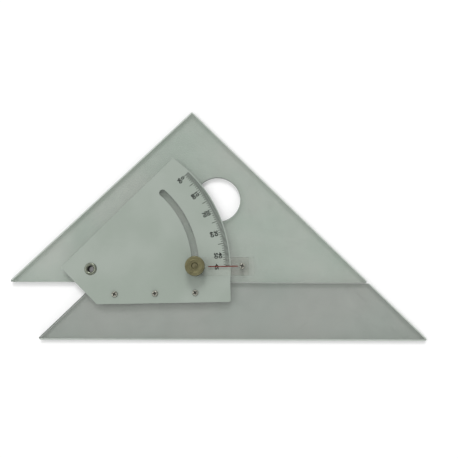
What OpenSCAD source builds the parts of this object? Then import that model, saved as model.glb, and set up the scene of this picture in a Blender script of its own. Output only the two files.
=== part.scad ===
// Adjustable set square: two clear blades joined at a hollow eyelet, with a protractor
// plate, a hairline cursor and a thumb knob that locks the angle between them.
// The origin is on the pivot axis, level with the underside. +X runs along the long
// drawing edge, +Y towards the right-angled tip and +Z up out of the drawing board.

/* [Blades] */
// Length of the long drawing edge
edge_len = 250; // [235:1:300]
// Height of the base blade, from its drawing edge to the split between the blades
base_h = 36.5; // [34:0.5:44]
// Distance from the pivot axis down to the split between the blades
split_drop = 8.5; // [7.5:0.1:10]
// Distance from the pivot axis to the pointed heel of the swing blade
heel_reach = 53.7; // [48:0.1:60]
// Thickness of the clear sheet that the blades are cut from
blade_t = 3; // [2.6:0.1:4]
// Gap between the two blades, along the split and at the swing stop
blade_gap = 0.3; // [0.2:0.05:0.5]
// Width of the bevel along the drawing edges
bevel_w = 1; // [0.4:0.1:1.6]
// Radius of the blunted corners
tip_r = 1.2; // [0.5:0.1:2.5]

/* [Finger hole] */
// Diameter of the finger hole
finger_d = 30.4; // [20:0.2:34]
// Distance of the finger hole from the pivot axis along the drawing edge
finger_x = 81.5; // [76:0.5:90]
// Height of the finger hole above the pivot axis
finger_y = 46.8; // [42:0.2:52]

/* [Scale plate] */
// Outer radius of the plate, from the pivot axis to the edge that carries the scale
plate_r = 90.5; // [88:0.5:96]
// Thickness of the plate
plate_t = 2; // [1.5:0.1:3]
// Distance from the pivot axis down to the plate's lower edge
plate_drop = 22.7; // [21:0.1:26]
// How far the plate's straight end, below the scale, lies inside the scale's arc
plate_flat = 0.4; // [0.3:0.1:0.8]
// Distance from the pivot axis to the plate's upper slanted edge
plate_upper = 14.5; // [9:0.1:18]
// Distance from the pivot axis to the plate's lower slanted edge
plate_lower = 12.8; // [9:0.1:14]
// Angle of the scale's zero line, and of the plate, above the drawing edge
zero_angle = 1.2; // [0:0.1:3]
// Radius of the plate's corners
plate_corner_r = 1.2; // [0.5:0.1:2.5]

/* [Swing and slot] */
// Largest angle that the swing blade opens to
swing_range = 45; // [30:1:45]
// Radius of the slot's centre line and of the lock bolt about the pivot
slot_r = 67.8; // [60:0.2:70]
// Extra slot past the bolt at each end of the swing, as an angle
slot_overrun = 2; // [1:0.5:3]
// Play of the lock bolt between the slot's walls, on each side
slot_play = 0.25; // [0.15:0.05:0.5]
// How much wider than the slot its drilled ends are, on the radius
slot_end_relief = 0.05; // [0.03:0.01:0.1]

/* [Pivot eyelet] */
// Bore of the hollow eyelet
eyelet_bore = 4; // [3:0.1:5]
// Wall of the eyelet's barrel
eyelet_wall = 0.5; // [0.4:0.05:0.8]
// Diameter of the eyelet's rolled top rim
eyelet_rim_d = 8; // [7.4:0.1:9]
// Height of the rolled top rim
eyelet_rim_h = 0.7; // [0.5:0.05:1]
// Thickness of the eyelet's lower rim, which is sunk in the blade
eyelet_foot_h = 0.5; // [0.4:0.05:0.6]
// Outer diameter of the washer that the lower rim is rolled over
washer_d = 9; // [8.4:0.1:10]
// Thickness of that washer
washer_t = 0.4; // [0.3:0.05:0.5]

/* [Lock bolt and knob] */
// Diameter of the lock bolt
bolt_d = 4; // [3:0.1:4.4]
// Diameter of the bolt's flat head
bolt_head_d = 8; // [7:0.1:9]
// Thickness of the bolt's flat head
bolt_head_t = 1.1; // [0.8:0.05:1.3]
// Diameter of the knob
knob_d = 12.7; // [11.6:0.1:15]
// Height of the knob, its collar included
knob_h = 8; // [6:0.5:10]
// Diameter of the knob's collar
collar_d = 9.5; // [8.6:0.1:11]
// Height of the knob's collar
collar_h = 1.6; // [1:0.1:2.4]
// Bevel at the knob's top and bottom edges
knob_bevel = 0.6; // [0.3:0.1:0.9]
// Diameter of the shallow dish in the knob's top
dish_d = 8.4; // [7:0.1:9]
// Depth of that dish
dish_depth = 0.4; // [0.2:0.05:0.8]
// Number of grooves in the knob's rim
grooves = 44; // [30:2:50]
// Depth of the rim grooves
groove_depth = 0.25; // [0.15:0.05:0.3]
// Diameter of the lock washer
lock_washer_d = 9; // [8:0.1:10]
// Thickness of the lock washer
lock_washer_t = 0.6; // [0.4:0.05:1]

/* [Cursor] */
// Width of the cursor and of the spacer block below it
cursor_w = 11.8; // [11:0.1:13]
// Thickness of the cursor
cursor_t = 1.5; // [1:0.1:2]
// Length of the spacer block
spacer_len = 11; // [9:0.1:14]
// Gap between the plate's scale edge and the spacer block
spacer_gap = 0.5; // [0.3:0.1:1.5]
// Distance from the spacer's inner end to the cursor screw
screw_inset = 6.8; // [3:0.1:7]
// How far the cursor reaches out past the spacer block
cursor_over = 3.8; // [0:0.1:8]

/* [Screws] */
// Diameter of the screw threads
screw_d = 2.5; // [2:0.1:2.8]
// Diameter of the screw heads
screw_head_d = 3.8; // [3.4:0.1:4.6]
// Height of the screw heads
screw_head_h = 1.1; // [0.8:0.05:1.4]
// Clear plastic left below a screw's point
screw_floor = 0.5; // [0.3:0.05:0.8]
// Spacing of the three plate screws
screw_pitch = 25.8; // [22:0.1:27]
// Distance from the pivot axis to the middle plate screw, along the plate
screw_x = 41.6; // [39:0.1:44]
// Height of the plate screws above the plate's lower edge
screw_rise = 6.2; // [4:0.1:7.5]

/* [Clearances] */
// Running clearance around a turning shaft, on the radius
turn_fit = 0.06; // [0.02:0.01:0.1]
// Gap between the flat faces that slide over each other
slide_gap = 0.1; // [0.05:0.01:0.2]
// Clearance of the screws in the cursor and of the bolt in the lock washer
hole_play = 0.1; // [0.05:0.01:0.2]

/* [Hidden] */
$fn = 64;
// Overshoot of a cut past the face that it opens
past = 1;
// Larger than any blade, for the cuts that run off its edges
far = 2 * edge_len;
// Straight steps in a rounded corner
corner_steps = 8;

// Heights
swing_t = blade_t - slide_gap;
plate_top = blade_t + plate_t;
cursor_z = plate_top + slide_gap;
cursor_top = cursor_z + cursor_t;
knob_z = cursor_top + lock_washer_t;
knob_top = knob_z + knob_h;

// Outlines of the blades
base_top_y = -split_drop - blade_gap / 2;
swing_low_y = -split_drop + blade_gap / 2;
edge_y = -split_drop - base_h;
// The base blade's left end is as far from the pivot as the split, so the heel stops on it
edge_left_x = edge_y - base_top_y * sqrt(2);
edge_right_x = edge_left_x + edge_len;
right_leg = edge_right_x + edge_y;
left_leg = heel_reach + swing_low_y;
tip_x = (right_leg - left_leg) / 2;

base_points = [
    [edge_left_x, edge_y],
    [edge_right_x, edge_y],
    [right_leg - base_top_y, base_top_y],
    [base_top_y - base_top_y * sqrt(2), base_top_y]
];
swing_points = [
    [-heel_reach, swing_low_y],
    [right_leg - swing_low_y, swing_low_y],
    [tip_x, right_leg - tip_x]
];

// Outline of the plate, in its own axes: +X is the zero line. The slanted edges lie at 45 degrees
plate_low_sum = -plate_lower * sqrt(2);
plate_up_diff = plate_upper * sqrt(2);
plate_flat_x = plate_r - plate_flat;
plate_flat_y = -sqrt(plate_r * plate_r - plate_flat_x * plate_flat_x);
plate_out_x = plate_r + past;
plate_left = [(plate_low_sum - plate_up_diff) / 2, (plate_low_sum + plate_up_diff) / 2];
plate_low = [plate_low_sum + plate_drop, -plate_drop];
plate_right = [plate_flat_x, -plate_drop];
plate_beyond = [plate_out_x, plate_out_x + plate_up_diff];

// Pivot and lock
barrel_r = eyelet_bore / 2 + eyelet_wall;
swing_bore_r = barrel_r + turn_fit;
foot_r = eyelet_rim_d / 2 - eyelet_wall / 2;
washer_top = eyelet_foot_h + washer_t;
pocket_r = washer_d / 2 + 2 * hole_play;
pocket_h = washer_top + slide_gap;
slot_w = bolt_d + 2 * slot_play;
head_pocket_r = bolt_head_d / 2 + hole_play;
head_z = slide_gap;
neck_z = head_z + bolt_head_t;

// Cursor
spacer_x = plate_r + spacer_gap;
cursor_screw_r = spacer_x + screw_inset;
cursor_reach = spacer_x + spacer_len + cursor_over;
cursor_corner_r = 0.8;

// Screws, along the plate's own axes
plate_screw_y = screw_rise - plate_drop;
plate_screw_xs = [for (i = [-1 : 1]) screw_x + i * screw_pitch];
recess_w = 0.6;
recess_len = 0.65 * screw_head_d;
recess_depth = 0.55 * screw_head_h;

// Direction from one point to another
function toward(from, to) = (to - from) / norm(to - from);

// Points of the corner p of an outline, rounded with radius r, with a before it and b after it.
// The outline runs anticlockwise
function round_corner(a, p, b, r) =
    let (
        back = toward(p, a),
        on = toward(p, b),
        half = acos(back * on) / 2,
        centre = p + toward([0, 0], back + on) * r / sin(half),
        first = p + back * r / tan(half) - centre,
        start = atan2(first[1], first[0]),
        step = (180 - 2 * half) / corner_steps
    )
    [for (i = [0 : corner_steps]) centre + r * [cos(start + i * step), sin(start + i * step)]];

// Points of an outline with all its corners rounded
function rounded(points, r) =
    let (count = len(points))
    [
        for (i = [0 : count - 1])
            each round_corner(points[(i + count - 1) % count], points[i], points[(i + 1) % count], r)
    ];

// Wedge that bevels the top edge of a sheet, from corner p to corner q with the sheet on the left
module edge_bevel(p, q, thickness) {
    run = q - p;
    translate([p[0], p[1], thickness - bevel_w])
        rotate([0, 0, atan2(run[1], run[0])])
            rotate([-45, 0, 0])
                translate([-far / 2, -far, 0])
                    cube([far * 2, far, far]);
}

// Puts pieces on the plate's axes
module on_plate() {
    rotate([0, 0, zero_angle])
        children();
}

// Curved slot about the pivot axis, with drilled round ends
module arc_slot(low, high) {
    depth = plate_t + 2 * past;
    translate([0, 0, blade_t - past]) {
        rotate([0, 0, low])
            rotate_extrude(angle = high - low, $fn = 180)
                translate([slot_r - slot_w / 2, 0])
                    square([slot_w, depth]);
        for (end = [low, high])
            rotate([0, 0, end])
                translate([slot_r, 0, 0])
                    cylinder(r = slot_w / 2 + slot_end_relief, h = depth);
    }
}

// Pan-head screw, standing on the face at the height seat with its point at the height point
module pan_screw(seat, point) {
    tip = screw_d / 4;
    difference() {
        union() {
            translate([0, 0, point + tip])
                cylinder(d = screw_d, h = seat - point - tip);
            translate([0, 0, point])
                cylinder(d1 = screw_d / 2, d2 = screw_d, h = tip);
            rotate_extrude()
                pan_profile(seat);
        }
        for (turn = [0, 90])
            translate([0, 0, seat + screw_head_h])
                rotate([0, 0, turn + 45])
                    cube([recess_len, recess_w, 2 * recess_depth], center = true);
    }
}

// Half section of a pan head: a low cylinder with a round top edge
module pan_profile(seat) {
    round_r = screw_head_h * 0.6;
    head_r = screw_head_d / 2;
    translate([0, seat])
        square([head_r, screw_head_h - round_r]);
    translate([0, seat])
        square([head_r - round_r, screw_head_h]);
    translate([head_r - round_r, seat + screw_head_h - round_r])
        intersection() {
            circle(r = round_r);
            square(round_r);
        }
}

// Hole for a screw's thread, from above the face at the height top down to the screw's point
module thread_hole(top, point) {
    translate([0, 0, point])
        cylinder(d = screw_d, h = top - point + past);
}

// Lower blade, which carries the long drawing edge and the scale plate
module base_blade() {
    color([0.60, 0.65, 0.60, 0.55])
        difference() {
            linear_extrude(blade_t)
                polygon(rounded(base_points, tip_r));
            edge_bevel(base_points[0], base_points[1], blade_t);
            edge_bevel(base_points[1], base_points[2], blade_t);
            on_plate()
                for (x = plate_screw_xs)
                    translate([x, plate_screw_y, 0])
                        thread_hole(blade_t, screw_floor);
        }
}

// Upper blade, which swings about the eyelet and carries the lock bolt and the cursor
module swing_blade() {
    color([0.64, 0.69, 0.65, 0.55])
        difference() {
            linear_extrude(swing_t)
                polygon(rounded(swing_points, tip_r));
            edge_bevel(swing_points[1], swing_points[2], swing_t);
            edge_bevel(swing_points[2], swing_points[0], swing_t);
            translate([finger_x, finger_y, -past])
                cylinder(d = finger_d, h = swing_t + 2 * past, $fn = 120);
            translate([0, 0, -past])
                cylinder(r = swing_bore_r, h = swing_t + 2 * past);
            translate([0, 0, -past])
                cylinder(r = pocket_r, h = pocket_h + past);
            on_plate() {
                translate([slot_r, 0, -past])
                    cylinder(r = head_pocket_r, h = neck_z + past);
                translate([slot_r, 0, swing_t / 2 + past])
                    cube([bolt_d, bolt_d, swing_t + past], center = true);
                translate([cursor_screw_r, 0, 0])
                    thread_hole(swing_t, screw_floor);
            }
        }
}

// Outline of the plate: slanted at the left, an arc under the scale and a straight end below it
module plate_outline() {
    end_top = plate_flat_y / 2;
    intersection() {
        polygon(concat(
            round_corner(plate_beyond, plate_left, plate_low, plate_corner_r),
            round_corner(plate_left, plate_low, plate_right, plate_corner_r),
            [[plate_out_x, -plate_drop], plate_beyond]
        ));
        circle(r = plate_r, $fn = 180);
    }
    polygon(concat(
        [[slot_r, -plate_drop]],
        round_corner(plate_low, plate_right, [plate_flat_x, end_top], plate_corner_r),
        [[plate_flat_x, end_top], [slot_r, end_top]]
    ));
}

// White protractor plate, screwed to the base blade and riveted at the pivot
module scale_plate() {
    color([0.93, 0.95, 0.93])
        on_plate()
            difference() {
                translate([0, 0, blade_t])
                    linear_extrude(plate_t)
                        plate_outline();
                translate([0, 0, blade_t - past])
                    cylinder(r = barrel_r, h = plate_t + 2 * past);
                arc_slot(-slot_overrun, swing_range + slot_overrun);
                for (x = plate_screw_xs)
                    translate([x, plate_screw_y, blade_t - past])
                        cylinder(d = screw_d, h = plate_t + 2 * past);
            }
}

// The three screws that hold the plate on the base blade
module plate_screws() {
    color([0.45, 0.46, 0.45])
        on_plate()
            for (x = plate_screw_xs)
                translate([x, plate_screw_y, 0])
                    pan_screw(plate_top, screw_floor);
}

// Half section of a rolled rim between two radii: a strip whose crown bulges by its height
module rim_profile(inner, outer, height) {
    half = (outer - inner) / 2;
    bulge = height * 0.7;
    crown_r = (half * half + bulge * bulge) / (2 * bulge);
    intersection() {
        translate([inner, 0])
            square([outer - inner, height]);
        translate([inner + half, height - crown_r])
            circle(r = crown_r);
    }
}

// Hollow eyelet: the pivot, rolled over the plate above and over a washer below
module pivot_eyelet() {
    bore_r = eyelet_bore / 2;
    color([0.72, 0.74, 0.70])
        rotate_extrude() {
            translate([bore_r, 0])
                square([eyelet_wall, plate_top + eyelet_wall / 2]);
            translate([0, plate_top])
                rim_profile(bore_r, eyelet_rim_d / 2, eyelet_rim_h);
            translate([0, eyelet_foot_h])
                mirror([0, 1])
                    rim_profile(bore_r, foot_r, eyelet_foot_h);
        }
}

// Thin washer under the swing blade, held up by the eyelet's lower rim
module pivot_washer() {
    color([0.66, 0.67, 0.64])
        translate([0, 0, eyelet_foot_h])
            difference() {
                cylinder(d = washer_d, h = washer_t);
                translate([0, 0, -past])
                    cylinder(r = barrel_r, h = washer_t + 2 * past);
            }
}

// Bolt with a flat head sunk in the swing blade and a square neck that stops it turning
module lock_bolt() {
    end = knob_top - dish_depth;
    color([0.70, 0.66, 0.48])
        on_plate()
            translate([slot_r, 0, 0]) {
                translate([0, 0, head_z])
                    cylinder(d = bolt_head_d, h = bolt_head_t);
                translate([-bolt_d / 2, -bolt_d / 2, neck_z])
                    cube([bolt_d, bolt_d, swing_t - neck_z]);
                translate([0, 0, neck_z])
                    cylinder(d = bolt_d, h = end - neck_z);
            }
}

// Washer between the cursor and the knob
module lock_washer() {
    color([0.74, 0.70, 0.50])
        on_plate()
            translate([slot_r, 0, cursor_top])
                difference() {
                    cylinder(d = lock_washer_d, h = lock_washer_t);
                    translate([0, 0, -past])
                        cylinder(r = bolt_d / 2 + hole_play, h = lock_washer_t + 2 * past);
                }
}

// Half section of the knob: a collar, a bevelled disc and a shallow dish in its top
module knob_profile() {
    collar_r = collar_d / 2;
    knob_r = knob_d / 2;
    bore_r = bolt_d / 2 + turn_fit;
    dish_r = dish_d / 2;
    polygon([
        [bore_r, 0],
        [collar_r, 0],
        [collar_r, collar_h],
        [knob_r - knob_bevel, collar_h],
        [knob_r, collar_h + knob_bevel],
        [knob_r, knob_h - knob_bevel],
        [knob_r - knob_bevel, knob_h],
        [dish_r, knob_h],
        [dish_r - dish_depth, knob_h - dish_depth],
        [bore_r, knob_h - dish_depth]
    ]);
}

// Thumb knob, threaded on the lock bolt
module lock_knob() {
    groove_r = 2 * groove_depth;
    color([0.62, 0.58, 0.40])
        on_plate()
            translate([slot_r, 0, knob_z])
                difference() {
                    rotate_extrude()
                        knob_profile();
                    for (i = [0 : grooves - 1])
                        rotate([0, 0, i * 360 / grooves])
                            translate([knob_d / 2 + groove_r - groove_depth, 0, collar_h - past])
                                cylinder(r = groove_r, h = knob_h + 2 * past, $fn = 16);
                }
}

// Outline of the cursor: round about the lock bolt and square at its outer end
module cursor_outline() {
    half = cursor_w / 2;
    low = [cursor_reach, -half];
    high = [cursor_reach, half];
    circle_edge = [[slot_r, half], [slot_r, -half]];
    translate([slot_r, 0])
        circle(d = cursor_w);
    polygon(concat(
        circle_edge,
        round_corner(circle_edge[1], low, high, cursor_corner_r),
        round_corner(low, high, circle_edge[0], cursor_corner_r)
    ));
}

// Clear cursor that carries the hairline over the scale
module cursor() {
    color([0.70, 0.72, 0.68, 0.5])
        on_plate()
            translate([0, 0, cursor_z])
                difference() {
                    linear_extrude(cursor_t)
                        cursor_outline();
                    translate([slot_r, 0, -past])
                        cylinder(r = bolt_d / 2 + hole_play, h = cursor_t + 2 * past);
                    translate([cursor_screw_r, 0, -past])
                        cylinder(r = screw_d / 2 + hole_play, h = cursor_t + 2 * past);
                }
}

// Clear block that carries the cursor's outer end at the height of the plate
module cursor_spacer() {
    color([0.62, 0.60, 0.54, 0.6])
        on_plate()
            difference() {
                translate([spacer_x, -cursor_w / 2, swing_t])
                    cube([spacer_len, cursor_w, cursor_z - swing_t]);
                translate([cursor_screw_r, 0, 0])
                    cylinder(r = screw_d / 2 + hole_play, h = cursor_top);
            }
}

// Screw that holds the cursor and its spacer on the swing blade
module cursor_screw() {
    color([0.45, 0.46, 0.45])
        on_plate()
            translate([cursor_screw_r, 0, 0])
                pan_screw(cursor_top, screw_floor);
}

base_blade();
swing_blade();
scale_plate();
plate_screws();
pivot_eyelet();
pivot_washer();
lock_bolt();
lock_washer();
lock_knob();
cursor();
cursor_spacer();
cursor_screw();
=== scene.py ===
"""Adjustable set square: the finished look of its pieces, laid out as a Blender add-on and run as a
script."""
import math

import bmesh
import bpy
import numpy as np
from bpy.props import FloatProperty, FloatVectorProperty, IntProperty, PointerProperty
from mathutils import Matrix, Vector


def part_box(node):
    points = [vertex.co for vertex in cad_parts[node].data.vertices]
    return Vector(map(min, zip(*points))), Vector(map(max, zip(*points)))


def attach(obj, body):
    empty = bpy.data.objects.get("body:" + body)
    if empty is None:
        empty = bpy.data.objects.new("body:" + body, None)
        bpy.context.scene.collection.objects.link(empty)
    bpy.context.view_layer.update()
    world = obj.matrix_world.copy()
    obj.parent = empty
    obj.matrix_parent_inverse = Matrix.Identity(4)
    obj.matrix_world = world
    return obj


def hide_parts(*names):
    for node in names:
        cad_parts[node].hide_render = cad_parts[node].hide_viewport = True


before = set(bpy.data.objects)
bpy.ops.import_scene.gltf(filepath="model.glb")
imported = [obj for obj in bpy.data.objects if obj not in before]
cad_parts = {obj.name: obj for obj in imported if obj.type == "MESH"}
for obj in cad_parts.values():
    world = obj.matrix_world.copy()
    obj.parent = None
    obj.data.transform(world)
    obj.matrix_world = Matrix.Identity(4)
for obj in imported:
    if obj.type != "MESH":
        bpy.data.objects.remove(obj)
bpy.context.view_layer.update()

bl_info = {
    "name": "Adjustable Set Square",
    "version": (1, 0, 0),
    "blender": (4, 5, 0),
    "location": "View3D > Sidebar > Set Square",
    "description": "Builds an adjustable set square with a scale, a hairline cursor and a locking knob",
    "category": "Add Mesh",
}

MM = 0.001
# How far the underside of a piece is lifted off the face that it lies on.
CONTACT_GAP = 0.02 * MM
# Points that are nearer to each other than this are one point.
SAME_PLACE = 1e-6
SCALE_DEGREES = 45


# ---------------------------------------------------------------- places taken from the frame

def centre_of(node):
    """Middle of a solid's box."""
    low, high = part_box(node)
    return (low + high) / 2


def solid_points(node):
    """Points of a solid's mesh, one row each."""
    return np.array([point.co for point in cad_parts[node].data.vertices])


def arc_radius(node, first_degrees=10, last_degrees=40):
    """Distance from the pivot axis to the round edge of a plate, read where only that edge lies."""
    x, y, _ = solid_points(node).T
    angle = np.degrees(np.arctan2(y, x))
    on_arc = (angle > first_degrees) & (angle < last_degrees)
    return float(np.hypot(x, y)[on_arc].max())


def width_of(node):
    """Width of a solid's box along X."""
    low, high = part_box(node)
    return high.x - low.x


def heights_of(node):
    """Lowest and highest Z of a solid's box."""
    low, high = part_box(node)
    return low.z, high.z


KNOB_AXIS = centre_of("lock_bolt")
ZERO_LINE = math.atan2(KNOB_AXIS.y, KNOB_AXIS.x)
PLATE_TOP = heights_of("scale_plate")[1]
PLATE_EDGE = arc_radius("scale_plate")
CURSOR_TOP = heights_of("cursor")[1]
SWING_TOP = heights_of("swing_blade")[1]
KNOB_FOOT, KNOB_TOP = heights_of("lock_knob")
KNOB_RADIUS = width_of("lock_knob") / 2
BOLT_FOOT, BOLT_TOP = heights_of("lock_bolt")
EYELET_FOOT, EYELET_TOP = heights_of("pivot_eyelet")


# ---------------------------------------------------------------- settings

def length(name, description, millimetres, high=1.0):
    """A size property, given in millimetres and kept in metres."""
    return FloatProperty(
        name=name, description=description, default=millimetres * MM, min=0.0, max=high,
        precision=5, subtype="DISTANCE", unit="LENGTH",
    )


def share(name, description, value, high=1.0):
    """A plain number from 0 to a limit."""
    return FloatProperty(name=name, description=description, default=value, min=0.0, max=high)


def angle_setting(name, description, degrees):
    """An angle property, given in degrees and kept in radians."""
    return FloatProperty(
        name=name, description=description, default=math.radians(degrees), subtype="ANGLE", unit="ROTATION")


def colour(name, description, red, green, blue):
    """A colour property, given as the 0 to 255 values that a screen shows and kept in linear light."""
    screen = np.array((red, green, blue)) / 255
    linear = np.where(screen <= 0.04045, screen / 12.92, ((screen + 0.055) / 1.055) ** 2.4)
    return FloatVectorProperty(
        name=name, description=description, default=tuple(float(x) for x in linear),
        min=0.0, max=1.0, size=3, subtype="COLOR",
    )


class SheetSettings(bpy.types.PropertyGroup):
    """Clear blades, cursor and spacer."""

    edge_round: length("Edge round", "Width of the softened edges of the clear pieces", 0.12, high=0.0004)
    swing_tint: colour("Swing blade tint", "Colour of the swinging blade", 122, 146, 125)
    swing_drift: colour(
        "Swing blade drift", "Second colour, which drifts through the swinging blade", 142, 153, 138)
    base_tint: colour("Base blade tint", "Colour of the base blade", 92, 112, 94)
    base_drift: colour(
        "Base blade drift", "Second colour, which drifts through the base blade", 106, 117, 102)
    # Painted highlight: a light colour on the sheet's bevels, where light glints along its edges.
    bevel_tint: colour("Bevel tint", "Colour of the sheet where its bevels gather light", 196, 204, 196)
    # Painted shade: a dark colour on the sheet's upright edges, for the dark lines that light leaves along a
    # clear sheet's edges.
    edge_tint: colour("Edge tint", "Colour of the sheet seen through its upright edges", 84, 96, 86)
    opacity: share("Blade opacity", "How much of the floor one face of the clear sheet hides", 0.34)
    edge_opacity: share("Edge opacity", "How much the bevels and edges hide", 0.85)
    cursor_tint: colour("Cursor tint", "Colour of the cursor", 196, 192, 180)
    cursor_opacity: share("Cursor opacity", "How much one face of the cursor hides", 0.035)
    # The block's own tint, darkened and browned as painted shade for the shade under the cursor, since these
    # pieces cast no shadow.
    spacer_tint: colour("Spacer tint", "Colour of the block under the cursor", 146, 144, 118)
    spacer_opacity: share("Spacer opacity", "How much one face of the block hides", 0.06)


class PlateSettings(bpy.types.PropertyGroup):
    """Scale plate and its print."""

    edge_round: length("Edge round", "Width of the plate's softened edges", 0.18, high=0.0006)
    face: colour("Plate colour", "Colour of the plate", 159, 168, 159)
    stain: colour("Plate stain", "Second colour, which drifts through the plate", 151, 161, 151)
    ink: colour("Ink", "Colour of the printed scale", 14, 19, 16)
    hairline: colour("Hairline", "Colour of the cursor's hairline", 106, 34, 32)
    margin: length("Margin", "From the plate's round edge to the outer end of the ticks", 0.75)
    half_tick: length("Half-degree tick", "Length of the half-degree ticks", 2.6)
    degree_tick: length("Degree tick", "Length of the whole-degree ticks", 3.8)
    label_tick: length("Numbered tick", "Length of the ticks that lead to a number", 4.0)
    long_tick: length("Ten-degree tick", "Length of the ticks between the numbers", 6.0)
    tick_width: length("Tick width", "Width of the ticks", 0.36)
    digit_height: length("Digit height", "Height of the numbers", 2.5)
    digit_spread: share("Digit spread", "How much wider the numbers are than the plain font", 1.18, high=2.0)
    digit_weight: length("Digit weight", "How much bolder the numbers are than the plain font", 0.12)
    outer_row: length("Outer row", "Distance of the outer row of numbers from the pivot axis", 84.2)
    inner_row: length("Inner row", "Distance of the inner row of numbers from the pivot axis", 81.4)
    print_height: length("Print height", "Thickness of the print", 0.03)
    hairline_width: length("Hairline width", "Width of the hairline", 0.62)
    hairline_start: length("Hairline start", "Distance of the hairline's inner end from the pivot axis", 76)
    hairline_end: length("Hairline end", "Distance of the hairline's outer end from the pivot axis", 95.2)


class MetalSettings(bpy.types.PropertyGroup):
    """Knob, bolt, washers, eyelet and screws."""

    brass: colour("Knob brass", "Colour of the aged knob", 99, 96, 71)
    brass_dark: colour("Tarnish", "Colour of the tarnish on the knob", 78, 75, 54)
    bolt: colour("Bolt brass", "Colour of the bolt and its washer", 103, 99, 76)
    nickel: colour("Nickel", "Colour of the eyelet", 102, 106, 95)
    steel: colour("Screw steel", "Colour of the screws", 150, 150, 140)
    # Dirt and painted shade: this dark colour darkens the screws' recesses and, as painted shade, the
    # eyelet's bore.
    grime: colour("Grime", "Colour of the dirt in the recesses", 20, 20, 16)
    flutes: IntProperty(
        name="Flutes", description="Number of flutes in the knob's rim", default=44, min=12, max=80)
    flute_radius: length("Flute radius", "Radius of each flute", 0.5)
    flute_depth: length("Flute depth", "Depth of each flute", 0.25)
    collar_radius: length("Collar radius", "Radius of the knob's collar", 4.75)
    collar_height: length("Collar height", "Height of the knob's collar", 1.6)
    dish_radius: length("Dish radius", "Radius of the dish in the knob's top", 4.2)
    dish_depth: length("Dish depth", "Depth of that dish", 0.4)
    knob_bevel: length("Knob bevel", "Bevel at the knob's top and bottom edges", 0.6)
    bolt_radius: length("Bolt radius", "Radius of the bolt's thread", 2.0)
    bolt_head_height: length("Bolt head", "Thickness of the bolt's head", 1.1)
    bolt_pitch: length("Bolt pitch", "Rise of the bolt's thread in one turn", 0.7)
    screw_radius: length("Screw radius", "Radius of the screws' thread", 1.25)
    screw_pitch: length("Screw pitch", "Rise of the screws' thread in one turn", 0.45)
    screw_head_height: length("Screw head", "Height of the screws' heads", 1.1)
    recess_width: length("Recess width", "Width of each arm of the cross recess", 0.74)
    recess_reach: length("Recess reach", "Length of each arm of the cross recess from the middle", 1.35)
    recess_depth: length("Recess depth", "Depth of the cross recess", 0.72)
    barrel_wall: length("Eyelet wall", "Wall of the eyelet", 0.5)


class StageSettings(bpy.types.PropertyGroup):
    """Camera, lamps and floor."""

    target: FloatVectorProperty(
        name="Target", description="Point that the camera looks at", default=(0.08929, 0.02726, 0.0),
        size=3, subtype="TRANSLATION", unit="LENGTH",
    )
    azimuth: angle_setting("Azimuth", "Direction of the camera's view, clockwise from +Y", 1.01)
    elevation: angle_setting("Elevation", "Height of the camera above the horizon, as an angle", 80.66)
    roll: angle_setting("Roll", "Turn of the camera about its line of sight", 1.22)
    distance: length("Distance", "Distance from the camera to its target", 316.3, high=10)
    lens: FloatProperty(name="Lens", description="Focal length in millimetres", default=37.34, min=1, max=500)
    key_strength: share("Key light", "Strength of the main light, in watts per square metre", 1.05, high=50)
    side_strength: share("Side light", "Strength of the side light, in watts per square metre", 0.7, high=50)
    front_strength: share(
        "Front light", "Strength of the low front light, in watts per square metre", 0.4, high=50)
    softness: angle_setting(
        "Softness", "Width of the lights as seen from the object, which blurs the shadows' edges", 21)
    sky: share("Sky", "Brightness of the surroundings", 0.53, high=5)
    floor: colour("Floor", "Colour of the floor", 250, 250, 250)
    floor_glow: share(
        "Floor glow", "Light that brings the floor up to white in the camera's view", 0.11, high=5)
    floor_gap: length("Floor gap", "Distance from the square's underside to the floor", 0.25)


# ---------------------------------------------------------------- meshes

def in_scene(name, data):
    """A new object for a mesh, light, camera or text, in the scene."""
    obj = bpy.data.objects.new(name, data)
    bpy.context.scene.collection.objects.link(obj)
    return obj


def put_object(name, points, faces):
    """A mesh object from an array of points and a list of faces."""
    mesh = bpy.data.meshes.new(name)
    mesh.from_pydata(points.reshape(-1, 3).tolist(), [], faces)
    return in_scene(name, mesh)


def mesh_points(mesh):
    """Points of a mesh as one array."""
    points = np.empty(len(mesh.vertices) * 3)
    mesh.vertices.foreach_get("co", points)
    return points.reshape(-1, 3)


def shade(mesh, sharp_degrees):
    """Shades a mesh smooth, except across edges that bend by more than this."""
    mesh.shade_smooth()
    mesh.set_sharp_from_angle(angle=math.radians(sharp_degrees))


def grid_faces(rows, columns, rows_close):
    """Four-sided faces of a grid numbered row by row. The last column joins the first, and so may the last
    row."""
    first_rows = np.arange(rows if rows_close else rows - 1)
    row, column = np.meshgrid(first_rows, np.arange(columns), indexing="ij")
    next_row = (row + 1) % rows
    next_column = (column + 1) % columns
    corners = (row * columns + column, row * columns + next_column,
               next_row * columns + next_column, next_row * columns + column)
    return np.stack(corners, axis=-1).reshape(-1, 4).tolist()


def close_mesh(obj):
    """Merges doubled points, turns the faces outwards and shades the surface smooth between its sharp
    edges."""
    merge_distance = 2 * SAME_PLACE
    sheet = bmesh.new()
    sheet.from_mesh(obj.data)
    bmesh.ops.remove_doubles(sheet, verts=sheet.verts, dist=merge_distance)
    bmesh.ops.dissolve_degenerate(sheet, dist=merge_distance / 4, edges=sheet.edges)
    bmesh.ops.recalc_face_normals(sheet, faces=sheet.faces)
    sheet.to_mesh(obj.data)
    sheet.free()
    shade(obj.data, 35)
    return obj


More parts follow.
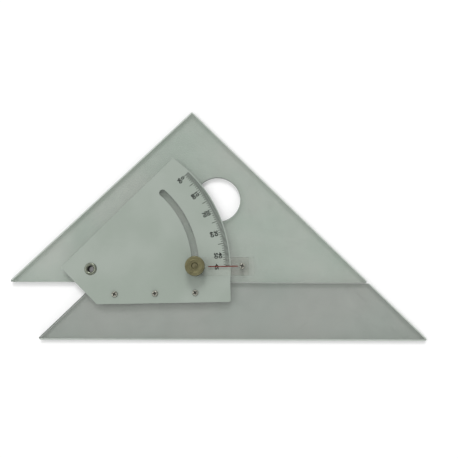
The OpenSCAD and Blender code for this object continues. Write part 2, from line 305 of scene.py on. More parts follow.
def soften(corners, radius):
    """Closed profile through the corners. Each corner c gives way to the curve (1-t)^2 a + 2t(1-t) c + t^2 b,
    which leaves the side before it at a and meets the side after it at b, both a radius from the corner, or
    a little under half the side where it is short."""
    most_of_side = 0.45
    points_each = 4
    corner = np.array(corners, float)
    before = np.roll(corner, 1, axis=0) - corner
    after = np.roll(corner, -1, axis=0) - corner

    def point_along(side):
        size = np.linalg.norm(side, axis=1)
        return corner + side * (np.minimum(radius, most_of_side * size) / size)[:, None]

    start, end = point_along(before), point_along(after)
    t = np.linspace(0, 1, points_each)[None, :, None]
    curve = (1 - t) ** 2 * start[:, None] + 2 * t * (1 - t) * corner[:, None] + t ** 2 * end[:, None]
    return curve.reshape(-1, 2)


def turned(name, profile, axis=(0, 0), columns=112, shape=None, closed=True):
    """Surface turned about a vertical axis. The point at profile place (r, z) and angle a is
    (axis.x + r cos a, axis.y + r sin a, z), where shape(r, z, a) may give new r and z over the whole grid.
    The ends of a profile that isn't closed lie on the axis."""
    angle = np.linspace(0, 2 * np.pi, columns, endpoint=False)[None, :]
    radius = np.repeat(profile[:, :1], columns, axis=1)
    height = np.repeat(profile[:, 1:2], columns, axis=1)
    if shape is not None:
        radius, height = shape(radius, height, angle)
    points = np.stack([axis[0] + radius * np.cos(angle), axis[1] + radius * np.sin(angle), height], axis=-1)
    return close_mesh(put_object(name, points, grid_faces(*radius.shape, closed)))


def threaded(pitch, depth):
    """Shape of a screw thread: the radius drops to a V between crests that climb one pitch in each turn."""
    def shape(radius, height, angle):
        turn = np.mod(height / pitch - angle / (2 * np.pi), 1)
        return radius - depth * (1 - np.abs(2 * turn - 1)), height
    return shape


def dressed_copy(node, name, width, lift=0.0):
    """Copy of a solid with its triangles merged into flat faces and its edges softened by a narrow bevel. Its
    underside may be lifted by a hair, so that no two faces share one plane."""
    flat_degrees = 1
    sharp_degrees = 30
    obj = in_scene(name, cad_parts[node].data.copy())
    obj.data.name = name
    points = mesh_points(obj.data)
    height = points[:, 2]
    height[height < height.min() + SAME_PLACE] += lift
    obj.data.vertices.foreach_set("co", points.ravel())
    shell = bmesh.new()
    shell.from_mesh(obj.data)
    bmesh.ops.remove_doubles(shell, verts=shell.verts, dist=SAME_PLACE)
    bmesh.ops.dissolve_limit(
        shell, angle_limit=math.radians(flat_degrees), verts=shell.verts, edges=shell.edges)
    shell.to_mesh(obj.data)
    shell.free()
    shade(obj.data, sharp_degrees)
    bevel = obj.modifiers.new("soft_edges", "BEVEL")
    bevel.width = width
    bevel.segments = 2
    bevel.limit_method = "ANGLE"
    bevel.angle_limit = math.radians(sharp_degrees)
    bevel.miter_outer = "MITER_ARC"
    bevel.harden_normals = True
    return obj


def put_strips(name, inner, outer, width, bottom, height, angle):
    """Thin boxes of print, each laid from its inner to its outer end along the X axis and then turned about
    the pivot axis by its own angle. Ends and angles are arrays, with one value for each strip."""
    across, up = width / 2, bottom + height
    corners = np.array([[0, -across, bottom], [1, -across, bottom], [1, across, bottom], [0, across, bottom],
                        [0, -across, up], [1, -across, up], [1, across, up], [0, across, up]])
    points = np.repeat(corners[None], len(inner), axis=0)
    points[..., 0] = inner[:, None] + points[..., 0] * (outer - inner)[:, None]
    sides = np.array([[0, 3, 2, 1], [4, 5, 6, 7], [0, 1, 5, 4], [1, 2, 6, 5], [2, 3, 7, 6], [3, 0, 4, 7]])
    faces = np.arange(len(inner))[:, None, None] * len(corners) + sides
    return put_object(name, turn_flat(points, angle[:, None]), faces.reshape(-1, 4).tolist())


def turn_flat(points, angle):
    """Points turned about the pivot axis, by one angle or by an array that fits the points' first indices."""
    x = points[..., 0] * np.cos(angle) - points[..., 1] * np.sin(angle)
    y = points[..., 0] * np.sin(angle) + points[..., 1] * np.cos(angle)
    return np.stack([x, y, points[..., 2]], axis=-1)


# ---------------------------------------------------------------- shader graph

class Signal:
    """One output socket, with Python's operators adding the Math nodes."""

    def __init__(self, graph, socket):
        self.graph = graph
        self.socket = socket

    def maths(self, operation, *values):
        """A Math node of this operation on the values."""
        return self.graph.node("ShaderNodeMath", {"operation": operation}, dict(enumerate(values)))

    def __add__(self, other):
        return self.maths("ADD", self, other)

    def __radd__(self, other):
        return self.maths("ADD", other, self)

    def __sub__(self, other):
        return self.maths("SUBTRACT", self, other)

    def __rsub__(self, other):
        return self.maths("SUBTRACT", other, self)

    def __mul__(self, other):
        return self.maths("MULTIPLY", self, other)

    def __rmul__(self, other):
        return self.maths("MULTIPLY", other, self)

    def __abs__(self):
        return self.maths("ABSOLUTE", self)

    def rise(self, low, high):
        """0 below low, 1 above high, and a smooth step between them."""
        return self.graph.node(
            "ShaderNodeMapRange", {"interpolation_type": "SMOOTHSTEP"},
            {"Value": self, "From Min": low, "From Max": high, "To Min": 0.0, "To Max": 1.0})

    def sine(self):
        """The sine of the value, in radians."""
        return self.maths("SINE", self)

    def larger(self, other):
        """The larger of this value and another."""
        return self.maths("MAXIMUM", self, other)


class Graph:
    """The nodes of one material or of the world."""

    def __init__(self, owner):
        owner.use_nodes = True
        self.tree = owner.node_tree

    def node(self, kind, options, inputs, output=0):
        """Adds a node of this type, sets its options, fills its sockets with values or links, and returns one
        of its outputs."""
        made = self.tree.nodes.new(kind)
        for key, value in options.items():
            setattr(made, key, value)
        for key, value in inputs.items():
            self.fill(made.inputs[key], value)
        return Signal(self, made.outputs[output])

    def fill(self, socket, value):
        """Links a signal to a socket, or sets the socket's own value."""
        if isinstance(value, Signal):
            self.tree.links.new(value.socket, socket)
        elif socket.type == "RGBA":
            socket.default_value = (*value, 1.0)
        else:
            socket.default_value = value

    def seen_by_camera(self):
        """1 for rays from the camera and for those mirrored or passed on to it, and 0 for the rest."""
        kinds = ("Is Camera Ray", "Is Glossy Ray", "Is Transmission Ray")
        direct, mirrored, passed_on = (self.node("ShaderNodeLightPath", {}, {}, kind) for kind in kinds)
        return direct.larger(mirrored).larger(passed_on)


class Finish(Graph):
    """A material under construction: one Principled shader and the nodes that feed it."""

    def __init__(self, name, **constants):
        self.material = bpy.data.materials.new(name)
        super().__init__(self.material)
        self.shader = self.tree.nodes["Principled BSDF"]
        self.feed(**constants)

    def feed(self, **sockets):
        """Fills sockets of the shader, with spaces in their names written as underscores."""
        for key, value in sockets.items():
            self.fill(self.shader.inputs[key.replace("_", " ")], value)

    def place(self, centre=(0, 0, 0), stretch=(1, 1, 1), turn=0.0):
        """Object coordinates about a centre, turned about Z, for a pattern drawn out by the stretch of each
        axis."""
        coordinates = self.node("ShaderNodeTexCoord", {}, {}, "Object")
        return self.node("ShaderNodeMapping", {"vector_type": "TEXTURE"}, {
            "Vector": coordinates, "Location": centre, "Rotation": (0, 0, turn), "Scale": stretch})

    def facing_up(self):
        """How far the surface faces up or down: 1 on a level face and 0 on an upright one."""
        normal = self.node("ShaderNodeTexCoord", {}, {}, "Normal")
        return abs(self.node("ShaderNodeSeparateXYZ", {}, {0: normal}, "Z"))

    def height(self):
        """Height above the drawing board, in metres."""
        return self.node("ShaderNodeSeparateXYZ", {}, {0: self.place()}, "Z")

    def distance_from(self, centre):
        """Distance from an upright axis."""
        place = self.place(centre)
        flat = self.node("ShaderNodeVectorMath", {"operation": "MULTIPLY"}, {0: place, 1: (1, 1, 0)})
        return self.node("ShaderNodeVectorMath", {"operation": "LENGTH"}, {0: flat}, "Value")

    def noise(self, size, detail=2.0, place=None):
        """Cloudy noise from 0 to 1, with features of about this size in metres."""
        inputs = {"Vector": place or self.place(), "Scale": 1 / size, "Detail": detail}
        return self.node("ShaderNodeTexNoise", {}, inputs, "Fac")

    def scratches(self, turn, size=0.00035, low=0.69):
        """Thin straight scratches in one direction and only in patches: noise drawn out along it and cut off
        near its peaks. A higher low leaves fewer of them."""
        drawn_out = (36, 1, 1)
        high = 0.76
        patch_size = 0.02
        streaks = self.noise(size, 1.0, self.place(stretch=drawn_out, turn=turn))
        return streaks.rise(low, high) * self.noise(patch_size).rise(0.45, 0.6)

    def blend(self, factor, first, second):
        """Colour that goes from the first to the second."""
        return self.node("ShaderNodeMix", {"data_type": "RGBA"}, {0: factor, 6: first, 7: second}, 2)

    def bump(self, height, size, strength):
        """Normal of a surface whose relief has this size in metres."""
        return self.node("ShaderNodeBump", {}, {"Height": height, "Distance": size, "Strength": strength})

    def on(self, obj):
        """Gives the finish to an object, in place of what it had."""
        obj.data.materials.clear()
        obj.data.materials.append(self.material)


def scaled(tone, factor):
    """A colour times a number, and no brighter than white."""
    return tuple(min(1.0, factor * x) for x in tone)


def clear_plastic(name, tint, drift, sheet, opacity, edge_opacity):
    """Polished clear sheet: cloudy and lightly scratched on its faces, with a painted highlight along its
    bevels, and painted shade through its upright edges, where it is also denser."""
    finish = Finish(name, IOR=1.49, Specular_IOR_Level=0.5)
    facing = finish.facing_up()
    slope = 1.0 - facing.rise(0.8, 0.98)
    upright = 1.0 - facing.rise(0.2, 0.55)
    cloud = finish.noise(0.05, 3.0)
    haze = finish.noise(0.009, 4.0)
    scratch = finish.scratches(0.5) + finish.scratches(-0.9, size=0.0003) + finish.scratches(2.2, low=0.71)
    body = finish.blend(cloud.rise(0.3, 0.7), tint, drift)
    finish.feed(
        # Painted highlight on the bevels and painted shade on the upright edges, blended into the sheet's
        # colour.
        Base_Color=finish.blend(upright, finish.blend(slope, body, sheet.bevel_tint), sheet.edge_tint),
        Alpha=slope * (edge_opacity - opacity) + (haze * 0.05 + scratch * 0.1 + (opacity - 0.025)),
        Roughness=scratch * 0.2 + (haze * 0.06 + (slope * 0.1 + 0.05)),
        Normal=finish.bump(haze * 0.12 - scratch, 0.00002, 0.3),
    )
    return finish


def plate_plastic(face, stain):
    """Satin white sheet: faint blotches, a fine grain, hair-fine scratches and saw marks on its cut edges."""
    scratched = (0.62, 0.66, 0.62)
    # The upright edges are darker in colour than the face.
    darker_edge_colour = (0.25, 0.29, 0.26)
    finish = Finish("satin_white", IOR=1.5, Specular_IOR_Level=0.4)
    edge = 1.0 - finish.facing_up().rise(0.5, 0.9)
    blotch = finish.noise(0.035, 3.0)
    grain = finish.noise(0.0005, 2.0)
    saw = finish.noise(0.0004, 2.0, finish.place(stretch=(1, 1, 10)))
    scratch = finish.scratches(0.2, size=0.00022, low=0.72) + finish.scratches(-0.75, size=0.0002, low=0.73)
    body = finish.blend(blotch.rise(0.35, 0.65), face, stain)
    worn = finish.blend(scratch * 0.13, body, scratched)
    finish.feed(
        Base_Color=finish.blend(edge * 0.35, worn, darker_edge_colour),
        Roughness=grain * 0.1 + (blotch * 0.1 + (edge * 0.25 + 0.32)),
        Normal=finish.bump(grain * 0.25 + (edge * saw - scratch * 0.3), 0.00002, 0.5),
    )
    return finish


def printing_ink(name, tone, roughness=0.42):
    """Screen-printed ink: a little thin and grey in places, with a pebbled surface."""
    finish = Finish(name, Specular_IOR_Level=0.12)
    patch = finish.noise(0.0016, 2.0)
    pebble = finish.noise(0.0003, 2.0)
    thin = tuple(0.9 * x + 0.012 for x in tone)
    finish.feed(
        Base_Color=finish.blend(patch.rise(0.55, 0.75), tone, thin),
        Roughness=pebble * 0.15 + roughness,
        Normal=finish.bump(pebble, 0.00001, 0.5),
    )
    return finish


def aged_brass(name, bright, dark, top):
    """Turned brass that has gone olive: fine turning rings on its level faces, tarnish, and edges that are
    worn where they lie just under its top."""
    ring_size = 0.22 * MM
    finish = Finish(name)
    level = finish.facing_up().rise(0.85, 0.98)
    radius = finish.distance_from((KNOB_AXIS.x, KNOB_AXIS.y, 0))
    wobble = finish.noise(0.004, 2.0) * 1.6
    rings = (radius * (2 * math.pi / ring_size) + wobble).sine() * level
    tarnish = finish.noise(0.0035, 4.0).rise(0.35, 0.7)
    spots = finish.noise(0.0008, 2.0).rise(0.62, 0.75)
    worn = finish.height().rise(top - 0.9 * MM, top - 0.2 * MM) * (1.0 - level) * 0.5
    aged = finish.blend(tarnish * 0.75, bright, dark)
    spotted = finish.blend(spots * 0.4, aged, scaled(dark, 0.45))
    finish.feed(
        Base_Color=finish.blend(worn, spotted, scaled(bright, 1.9)),
        Metallic=0.92 - spots * 0.35,
        Roughness=tarnish * 0.16 + (rings * 0.03 + (spots * 0.2 + 0.37)),
        Normal=finish.bump(rings * 0.3 + finish.noise(0.0009, 3.0) * 0.5, 0.00002, 0.5),
    )
    return finish


def plated_metal(name, bright, grime, dirt_shade_top, dirt_shade_drop, bore=None, roughness=0.27):
    """Plated metal with small dull marks on the plating, and a dark colour painted below a height: dirt and
    painted shade in its recesses. Where a bore's radius is given, that dark colour lies only in that bore on
    the pivot axis."""
    finish = Finish(name)
    # Dirt and painted shade: darker below a height, where shade falls in recesses.
    dirt_and_shade = 1.0 - finish.height().rise(dirt_shade_top - dirt_shade_drop, dirt_shade_top)
    if bore:
        dirt_and_shade = dirt_and_shade * (1.0 - finish.distance_from((0, 0, 0)).rise(bore + 0.1 * MM, bore + 0.7 * MM))
    marks = finish.noise(0.0011, 4.0)
    dull = marks.rise(0.5, 0.72)
    plating = finish.blend(dull * 0.5, bright, scaled(bright, 0.5))
    finish.feed(
        Base_Color=finish.blend(dirt_and_shade * 0.85, plating, grime),
        Metallic=1.0 - dirt_and_shade * 0.7,
        Roughness=dull * 0.2 + (dirt_and_shade * 0.4 + roughness),
        Normal=finish.bump(marks, 0.00003, 0.4),
    )
    return finish


# ---------------------------------------------------------------- operators

class PieceOperator(bpy.types.Operator):
    """Adds pieces of the set square."""

    bl_options = {"REGISTER", "UNDO"}


def install(obj, body, finish, node=None):
    """Gives a piece its finish, its body and, apart from print and the solid that it stands for."""
    finish.on(obj)
    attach(obj, body)
    if node:
        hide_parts(node)


class SETSQUARE_OT_blades(PieceOperator):
    """Adds the two clear blades, with softened edges"""

    bl_idname = "setsquare.blades"
    bl_label = "Clear Blades"

    def execute(self, context):
        sheet = context.scene.set_square_sheet
        for body, tint, drift in (("base", sheet.base_tint, sheet.base_drift),
                                  ("swing", sheet.swing_tint, sheet.swing_drift)):
            finish = clear_plastic(body + "_sheet", tint, drift, sheet, sheet.opacity, sheet.edge_opacity)
            blade = dressed_copy(body + "_blade", "clear_" + body + "_blade", sheet.edge_round)
            install(blade, body, finish, body + "_blade")
        return {"FINISHED"}


class SETSQUARE_OT_plate(PieceOperator):
    """Adds the white scale plate, with softened edges"""

    bl_idname = "setsquare.plate"
    bl_label = "Scale Plate"

    def execute(self, context):
        plate = context.scene.set_square_plate
        white = dressed_copy("scale_plate", "white_plate", plate.edge_round, CONTACT_GAP)
        install(white, "base", plate_plastic(plate.face, plate.stain), "scale_plate")
        return {"FINISHED"}


def scale_ticks(plate):
    """The printed ticks, along the radius and a half degree apart: longest at every ten degrees, and shorter
    at the fives between, which have numbers, at every whole degree and at every half. The first has a
    number too."""
    half_degrees = np.arange(2 * SCALE_DEGREES + 1)
    kinds = [half_degrees == 0, half_degrees % 20 == 0, half_degrees % 10 == 0, half_degrees % 2 == 0]
    sizes = [plate.label_tick, plate.long_tick, plate.label_tick, plate.degree_tick]
    outer = np.full(len(half_degrees), PLATE_EDGE - plate.margin)
    inner = outer - np.select(kinds, sizes, plate.half_tick)
    angle = ZERO_LINE + np.radians(half_degrees / 2)
    return put_strips("scale_ticks", inner, outer, plate.tick_width, PLATE_TOP, plate.print_height, angle)


def number_mesh(text, plate):
    """Points and faces of a number, standing on its own centre in the XY plane and scaled to the digit
    height."""
    curve = bpy.data.curves.new("number", "FONT")
    curve.body = text
    curve.size = plate.digit_height * 1.4
    curve.offset = plate.digit_weight
    curve.extrude = plate.print_height / 2
    curve.resolution_u = 4
    writer = in_scene("number", curve)
    bpy.context.view_layer.update()
    mesh = bpy.data.meshes.new_from_object(writer.evaluated_get(bpy.context.evaluated_depsgraph_get()))
    points = mesh_points(mesh)
    faces = [tuple(face.vertices) for face in mesh.polygons]
    low, high = points.min(axis=0), points.max(axis=0)
    points = points - (low + high) / 2
    scale = plate.digit_height / (high[1] - low[1])
    points[:, :2] *= scale * plate.digit_spread, scale
    bpy.data.objects.remove(writer)
    bpy.data.curves.remove(curve)
    bpy.data.meshes.remove(mesh)
    return points, faces


def scale_numbers(plate):
    """The printed numbers, at 0 and then at every ten degrees from 5: the angle plus 45 in the inner row, and
    45 less the angle in the outer row. Each stands with its top outwards, so it is turned a quarter turn
    back from its own direction."""
    labels = [(0, SCALE_DEGREES, plate.inner_row)]
    for degrees in range(5, SCALE_DEGREES + 1, 10):
        labels.append((degrees, SCALE_DEGREES + degrees, plate.inner_row))
        labels.append((degrees, SCALE_DEGREES - degrees, plate.outer_row))
    all_points, all_faces, count = [], [], 0
    for degrees, number, row in labels:
        points, faces = number_mesh(str(number), plate)
        points = points + (0, 0, PLATE_TOP + plate.print_height / 2)
        points = turn_flat(points, -math.pi / 2) + (row, 0, 0)
        all_points.append(turn_flat(points, ZERO_LINE + math.radians(degrees)))
        all_faces += [tuple(count + corner for corner in face) for face in faces]
        count += len(points)
    return close_mesh(put_object("scale_numbers", np.concatenate(all_points), all_faces))


class SETSQUARE_OT_scale(PieceOperator):
    """Prints the half-degree scale and its two rows of numbers on the plate"""

    bl_idname = "setsquare.scale"
    bl_label = "Printed Scale"

    def execute(self, context):
        plate = context.scene.set_square_plate
        finish = printing_ink("scale_ink", plate.ink)
        for piece in (scale_ticks(plate), scale_numbers(plate)):
            install(piece, "base", finish)
        return {"FINISHED"}


def eyelet_profile(metal):
    """Closed section of the eyelet: a straight bore, a crowned rim rolled out above and a flatter one below.
    Each rim's height is its crown times the square root of 1 - u^2, with u from -1 to 1 across the rim."""
    bore = metal.bolt_radius
    barrel = bore + metal.barrel_wall
    outer = width_of("pivot_eyelet") / 2
    foot_radius = outer - metal.barrel_wall / 2
    foot_top = heights_of("pivot_washer")[0]
    rim_points = 24
    across = np.linspace(-1, 1, rim_points)

    def crown(inner, outer_edge, base, rise):
        radius = inner + (outer_edge - inner) * (across + 1) / 2
        return np.stack([radius, base + rise * np.sqrt(1 - across ** 2)], axis=-1)

    rim = crown(bore, outer, PLATE_TOP, EYELET_TOP - PLATE_TOP)
    foot = crown(bore, foot_radius, foot_top, EYELET_FOOT - foot_top)[::-1]
    wall = np.array([[barrel, PLATE_TOP], [barrel, foot_top]])
    return np.concatenate([rim, wall, foot])


def ring_profile(node, inner, softness):
    """Section of a washer that fills its solid's box from an inner radius, with softened corners."""
    low, high = heights_of(node)
    outer = width_of(node) / 2
    return soften([(inner, low), (outer, low), (outer, high), (inner, high)], softness)


class SETSQUARE_OT_pivot(PieceOperator):
    """Adds the hollow eyelet that the blades turn on, and the washer under it"""

    bl_idname = "setsquare.pivot"
    bl_label = "Pivot Eyelet"

    def execute(self, context):
        metal = context.scene.set_square_metal
        half_rim = (EYELET_TOP - PLATE_TOP) / 2
        # The dark colour in the eyelet's bore is painted shade.
        finish = plated_metal(
            "nickel_plate", metal.nickel, metal.grime, PLATE_TOP + half_rim, half_rim * 3,
            bore=metal.bolt_radius, roughness=0.2)
        eyelet = turned("rolled_eyelet", eyelet_profile(metal))
        install(eyelet, "base", finish, "pivot_eyelet")
        inner = metal.bolt_radius + metal.barrel_wall
        washer = turned("eyelet_washer", ring_profile("pivot_washer", inner, 0.08 * MM))
        install(washer, "base", finish, "pivot_washer")
        return {"FINISHED"}


def screw_profile(metal, seat, point, head_radius):
    """Section of a pan-head screw, from the middle of its head over the round edge and down its shank to the
    point. The flat of the head has many points, because the cross recess is pressed into them."""
    edge = metal.screw_head_height * 0.6
    top = seat + metal.screw_head_height
    flat_points = 44
    bend_points = 7
    points_per_turn = 6
    flat = np.linspace(0, head_radius - edge, flat_points)
    bend = np.linspace(0, np.pi / 2, bend_points)[1:]
    steps = int((seat - point) / (metal.screw_pitch / points_per_turn))
    shank = np.linspace(seat, point + metal.screw_radius / 2, steps)
    sections = [
        np.stack([flat, np.full(flat_points, top)], axis=-1),
        np.stack([head_radius - edge + edge * np.sin(bend), top - edge + edge * np.cos(bend)], axis=-1),
        [[head_radius, seat]],
        np.stack([np.full(steps, metal.screw_radius), shank], axis=-1),
        [[metal.screw_radius / 2, point], [0, point]],
    ]
    return np.concatenate(sections)


def screw_shape(metal, seat, turn):
    """Shape of a screw: its thread below the seat, and in the head a cross recess. The larger of the places
    along and across an arm, as shares of its reach and half width, says how near its edge a point is. The
    recess falls off smoothly there, and its arms get shallower outwards."""
    recess_end = 1.2
    recess_slope = 0.42
    thread = threaded(metal.screw_pitch, metal.screw_pitch * 0.5)
    reach = metal.recess_reach
    half = metal.recess_width / 2

    def shape(radius, height, angle):
        threaded_radius, _ = thread(radius, height, angle)
        is_shank = (height < seat - SAME_PLACE / 10) & (radius > metal.screw_radius * 0.9)
        x = np.abs(radius * np.cos(angle + turn))
        y = np.abs(radius * np.sin(angle + turn))
        across = np.minimum(np.maximum(x / reach, y / half), np.maximum(y / reach, x / half))
        inside = np.clip((recess_end - across) / recess_slope, 0, 1)
        inside = inside * inside * (3 - 2 * inside)
        sunk = metal.recess_depth * inside * (1 - 0.55 * (radius / reach) ** 2)
        is_head = height > seat + metal.screw_head_height * 0.35
        return np.where(is_shank, threaded_radius, radius), np.where(is_head, height - sunk, height)

    return shape


def plate_screw_places():
    """Centre of each plate screw, found as the groups of points of their solids along X."""
    least_gap = 5 * MM
    points = solid_points("plate_screws")
    order = points[np.argsort(points[:, 0])]
    gaps = np.flatnonzero(np.diff(order[:, 0]) > least_gap) + 1
    return [(group.min(axis=0) + group.max(axis=0)) / 2 for group in np.split(order, gaps)]


class SETSQUARE_OT_screws(PieceOperator):
    """Adds the three screws of the plate and the one of the cursor"""

    bl_idname = "setsquare.screws"
    bl_label = "Screws"

    def execute(self, context):
        metal = context.scene.set_square_metal
        recess_turns = (0.5, 1.3, 0.9)
        jobs = [("plate_screw_" + letter, "base", place, PLATE_TOP, turn, "plate_screws")
                for letter, place, turn in zip("abc", plate_screw_places(), recess_turns)]
        cursor_place = centre_of("cursor_screw")
        jobs.append(("cursor_screw_dressed", "swing", cursor_place, CURSOR_TOP, 0.3, "cursor_screw"))
        head_radius = width_of("cursor_screw") / 2
        head_height = metal.screw_head_height
        for name, body, place, seat, turn, node in jobs:
            profile = screw_profile(metal, seat, heights_of(node)[0], head_radius)
            shape = screw_shape(metal, seat, turn)
            screw = turned(name, profile, place[:2], columns=160, shape=shape, closed=False)
            # The dark colour low in the cross recess and under the head's rim is dirt and painted shade.
            finish = plated_metal(
                "steel_" + name, metal.steel, metal.grime, seat + head_height * 0.86, head_height * 0.3)
            install(screw, body, finish, node)
        return {"FINISHED"}


def bolt_profile(metal):
    """Section of the lock bolt from the middle of its head, over the square neck and up the thread to its
    end."""
    head = width_of("lock_bolt") / 2
    neck = BOLT_FOOT + metal.bolt_head_height
    bevel = metal.bolt_radius * 0.1
    points_per_turn = 8
    steps = int((BOLT_TOP - bevel - SWING_TOP) / (metal.bolt_pitch / points_per_turn))
    thread = np.linspace(SWING_TOP + SAME_PLACE, BOLT_TOP - bevel, steps)
    outline = [[0, BOLT_FOOT], [head - bevel, BOLT_FOOT], [head, BOLT_FOOT + bevel], [head, neck],
               [metal.bolt_radius, neck], [metal.bolt_radius, SWING_TOP]]
    shank = np.stack([np.full(steps, metal.bolt_radius), thread], axis=-1)
    end = [[metal.bolt_radius - 2 * bevel, BOLT_TOP], [0, BOLT_TOP]]
    return np.concatenate([outline, shank, end])


def bolt_shape(metal):
    """Shape of the bolt: a square neck, whose radius is half its side over the larger of |cos a| and |sin a|,
    and a thread above the blade."""
    thread = threaded(metal.bolt_pitch, metal.bolt_pitch * 0.54)
    neck = BOLT_FOOT + metal.bolt_head_height
    slack = SAME_PLACE / 1000

    def shape(radius, height, angle):
        level = angle - ZERO_LINE
        square = radius / np.maximum(np.abs(np.cos(level)), np.abs(np.sin(level)))
        on_bolt = np.isclose(radius, metal.bolt_radius)
        is_neck = on_bolt & (height >= neck - slack) & (height <= SWING_TOP + slack)
        is_thread = on_bolt & (height > SWING_TOP + slack)
        turned_radius, _ = thread(radius, height, angle)
        return np.select([is_neck, is_thread], [square, turned_radius], radius), height

    return shape


def knob_profile(metal):
    """Closed section of the knob: bore, collar, bevelled disc and a shallow dish in its top."""
    low, high, outer = KNOB_FOOT, KNOB_TOP, KNOB_RADIUS
    bore = metal.bolt_radius * 1.03
    bore_bevel = 0.18 * MM
    shoulder = low + metal.collar_height
    bevel = metal.knob_bevel
    dish = high - metal.dish_depth
    corners = [
        (bore, low), (metal.collar_radius, low), (metal.collar_radius, shoulder), (outer - bevel, shoulder),
        (outer, shoulder + bevel), (outer, high - bevel), (outer - bevel, high), (metal.dish_radius, high),
        (metal.dish_radius - metal.dish_depth, dish), (bore + bore_bevel, dish), (bore, dish - bore_bevel),
    ]
    return soften(corners, 0.14 * MM)


def fluted(metal):
    """Shape of the knob's rim: round flutes of radius g about centres at radius D, so that at an angle e from
    a flute's middle the surface comes in to D cos e - sqrt(g^2 - D^2 sin^2 e)."""
    flute = metal.flute_radius
    reach = KNOB_RADIUS + flute - metal.flute_depth

    def shape(radius, height, angle):
        pitch = 2 * np.pi / metal.flutes
        offset = np.mod(angle + pitch / 2, pitch) - pitch / 2
        across = reach * np.sin(offset)
        inside = np.abs(across) < flute
        cut = reach * np.cos(offset) - np.sqrt(np.where(inside, flute ** 2 - across ** 2, 0))
        is_disc = height > KNOB_FOOT + metal.collar_height - SAME_PLACE / 10
        return np.where(is_disc & inside, np.minimum(radius, cut), radius), height

    return shape


class SETSQUARE_OT_lock(PieceOperator):
    """Adds the lock bolt, its washer and the fluted knob"""

    bl_idname = "setsquare.lock"
    bl_label = "Lock Knob"

    def execute(self, context):
        metal = context.scene.set_square_metal
        axis = KNOB_AXIS[:2]
        turned_brass = aged_brass("turned_brass", metal.bolt, metal.brass_dark, BOLT_TOP)
        knob_brass = aged_brass("knob_brass", metal.brass, metal.brass_dark, KNOB_TOP)
        profile, shape = bolt_profile(metal), bolt_shape(metal)
        bolt = turned("threaded_bolt", profile, axis, columns=64, shape=shape, closed=False)
        install(bolt, "swing", turned_brass, "lock_bolt")
        washer = turned("knob_washer", ring_profile("lock_washer", metal.bolt_radius * 1.05, 0.1 * MM), axis)
        install(washer, "swing", turned_brass, "lock_washer")
        columns_per_flute = 14
        columns = metal.flutes * columns_per_flute
        knob = turned("fluted_knob", knob_profile(metal), axis, columns, shape=fluted(metal))
        install(knob, "knob", knob_brass, "lock_knob")
        return {"FINISHED"}


def hairline(plate):
    """The red hairline: one thin strip on the cursor's top, along the zero line."""
    ends = np.array([[plate.hairline_start], [plate.hairline_end]])
    zero = np.array([ZERO_LINE])
    return put_strips("cursor_hairline", *ends, plate.hairline_width, CURSOR_TOP, plate.print_height, zero)


class SETSQUARE_OT_cursor(PieceOperator):
    """Adds the clear cursor, the block under its outer end and its hairline"""

    bl_idname = "setsquare.cursor"
    bl_label = "Cursor"

    def execute(self, context):
        sheet = context.scene.set_square_sheet
        plate = context.scene.set_square_plate
        thin_edge = sheet.edge_opacity * 0.4
        jobs = (("cursor", "cursor", sheet.cursor_tint, sheet.cursor_opacity),
                ("spacer", "cursor_spacer", sheet.spacer_tint, sheet.spacer_opacity))
        for name, node, tint, opacity in jobs:
            finish = clear_plastic(name + "_sheet", tint, sheet.cursor_tint, sheet, opacity, thin_edge)
            piece = dressed_copy(node, "clear_" + name, sheet.edge_round, CONTACT_GAP)
            install(piece, "swing", finish, node)
            # Light that has to pass a stack of clear faces is lost and leaves a dark smudge, so these two
            # cast no shadow.
            piece.visible_shadow = False
        install(hairline(plate), "swing", printing_ink("hairline_ink", plate.hairline, 0.35))
        return {"FINISHED"}


def compass(azimuth, rise):
    """Direction at an angle clockwise from +Y and at an angle above the horizon."""
    return Vector((math.sin(azimuth) * math.cos(rise), math.cos(azimuth) * math.cos(rise), math.sin(rise)))


def camera_matrix(stage):
    """Place and turn of the camera: at a distance from its target, looking along its azimuth and down by its
    elevation, and rolled about that line."""
    azimuth, roll = stage.azimuth, stage.roll
    forward = compass(azimuth, -stage.elevation)
    level_right = Vector((math.cos(azimuth), -math.sin(azimuth), 0))
    level_up = level_right.cross(forward)
    right = math.cos(roll) * level_right + math.sin(roll) * level_up
    up = math.cos(roll) * level_up - math.sin(roll) * level_right
    place = Vector(stage.target) - forward * stage.distance
    return Matrix.Translation(place) @ Matrix((right, up, -forward)).transposed().to_4x4()


def soft_light(name, strength, softness, azimuth, elevation):
    """Even light from a wide patch of the surroundings, in a compass direction and at a height in degrees."""
    light = bpy.data.lights.new(name, "SUN")
    light.energy = strength
    light.angle = softness
    lamp = in_scene(name, light)
    lamp.location = compass(math.radians(azimuth), math.radians(elevation))
    lamp.rotation_euler = lamp.location.to_track_quat("Z", "Y").to_euler()


def pale_floor(stage):
    """Pale matt floor that keeps the shadows and glows just enough to be white in the camera's view."""
    half = 3.0
    corners = np.array([[-half, -half], [half, -half], [half, half], [-half, half]])
    points = np.column_stack([corners, np.full(4, -stage.floor_gap)])
    floor = put_object("floor", points, [[0, 1, 2, 3]])
    material = bpy.data.materials.new("pale_floor")
    graph = Graph(material)
    graph.tree.nodes.remove(graph.tree.nodes["Principled BSDF"])
    matt = graph.node("ShaderNodeBsdfDiffuse", {}, {"Color": stage.floor})
    glow = graph.node("ShaderNodeEmission", {}, {"Strength": graph.seen_by_camera() * stage.floor_glow})
    both = graph.node("ShaderNodeAddShader", {}, {0: matt, 1: glow})
    graph.fill(graph.tree.nodes["Material Output"].inputs["Surface"], both)
    floor.data.materials.append(material)


def soft_surroundings(stage):
    """Even light from all round, which shows as white behind the object."""
    world = bpy.data.worlds.new("studio")
    bpy.context.scene.world = world
    graph = Graph(world)
    background = graph.tree.nodes["Background"]
    graph.fill(background.inputs["Color"], (1, 1, 1))
    graph.fill(background.inputs["Strength"], graph.seen_by_camera() * (1 - stage.sky) + stage.sky)


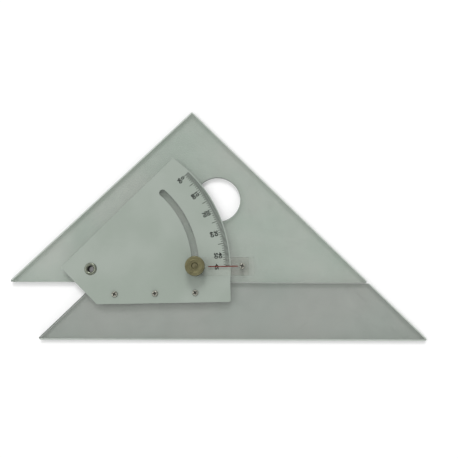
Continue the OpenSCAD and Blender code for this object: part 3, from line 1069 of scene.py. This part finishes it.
class SETSQUARE_OT_stage(PieceOperator):
    """Sets up the floor, the lamps and the camera"""

    bl_idname = "setsquare.stage"
    bl_label = "Stage"

    def execute(self, context):
        stage = context.scene.set_square_stage
        pale_floor(stage)
        soft_surroundings(stage)
        soft_light("key_light", stage.key_strength, stage.softness, azimuth=-4, elevation=48)
        soft_light("side_light", stage.side_strength, stage.softness * 2, azimuth=-80, elevation=50)
        soft_light("front_light", stage.front_strength, stage.softness, azimuth=164, elevation=20)
        camera = in_scene("camera", bpy.data.cameras.new("camera"))
        camera.data.lens = stage.lens
        camera.data.sensor_width = 36
        camera.data.clip_start = 0.01
        camera.matrix_world = camera_matrix(stage)
        context.scene.camera = camera
        context.scene.view_settings.view_transform = "Standard"
        return {"FINISHED"}


class SETSQUARE_PT_panel(bpy.types.Panel):
    """Lists the operators that build the set square."""

    bl_idname = "SETSQUARE_PT_panel"
    bl_label = "Set Square"
    bl_space_type = "VIEW_3D"
    bl_region_type = "UI"
    bl_category = "Set Square"

    def draw(self, context):
        for operator in OPERATORS:
            self.layout.operator(operator.bl_idname)


GROUPS = {
    "set_square_sheet": SheetSettings,
    "set_square_plate": PlateSettings,
    "set_square_metal": MetalSettings,
    "set_square_stage": StageSettings,
}
OPERATORS = (
    SETSQUARE_OT_blades,
    SETSQUARE_OT_plate,
    SETSQUARE_OT_scale,
    SETSQUARE_OT_pivot,
    SETSQUARE_OT_screws,
    SETSQUARE_OT_lock,
    SETSQUARE_OT_cursor,
    SETSQUARE_OT_stage,
)


def register():
    for name, group in GROUPS.items():
        bpy.utils.register_class(group)
        setattr(bpy.types.Scene, name, PointerProperty(type=group))
    for made in (*OPERATORS, SETSQUARE_PT_panel):
        bpy.utils.register_class(made)


def unregister():
    for made in (SETSQUARE_PT_panel, *reversed(OPERATORS)):
        bpy.utils.unregister_class(made)
    for name, group in reversed(GROUPS.items()):
        delattr(bpy.types.Scene, name)
        bpy.utils.unregister_class(group)


def main():
    """Builds every piece and the stage."""
    register()
    bpy.ops.setsquare.blades()
    bpy.ops.setsquare.plate()
    bpy.ops.setsquare.scale()
    bpy.ops.setsquare.pivot()
    bpy.ops.setsquare.screws()
    bpy.ops.setsquare.lock()
    bpy.ops.setsquare.cursor()
    bpy.ops.setsquare.stage()


if __name__ == "__main__":
    main()
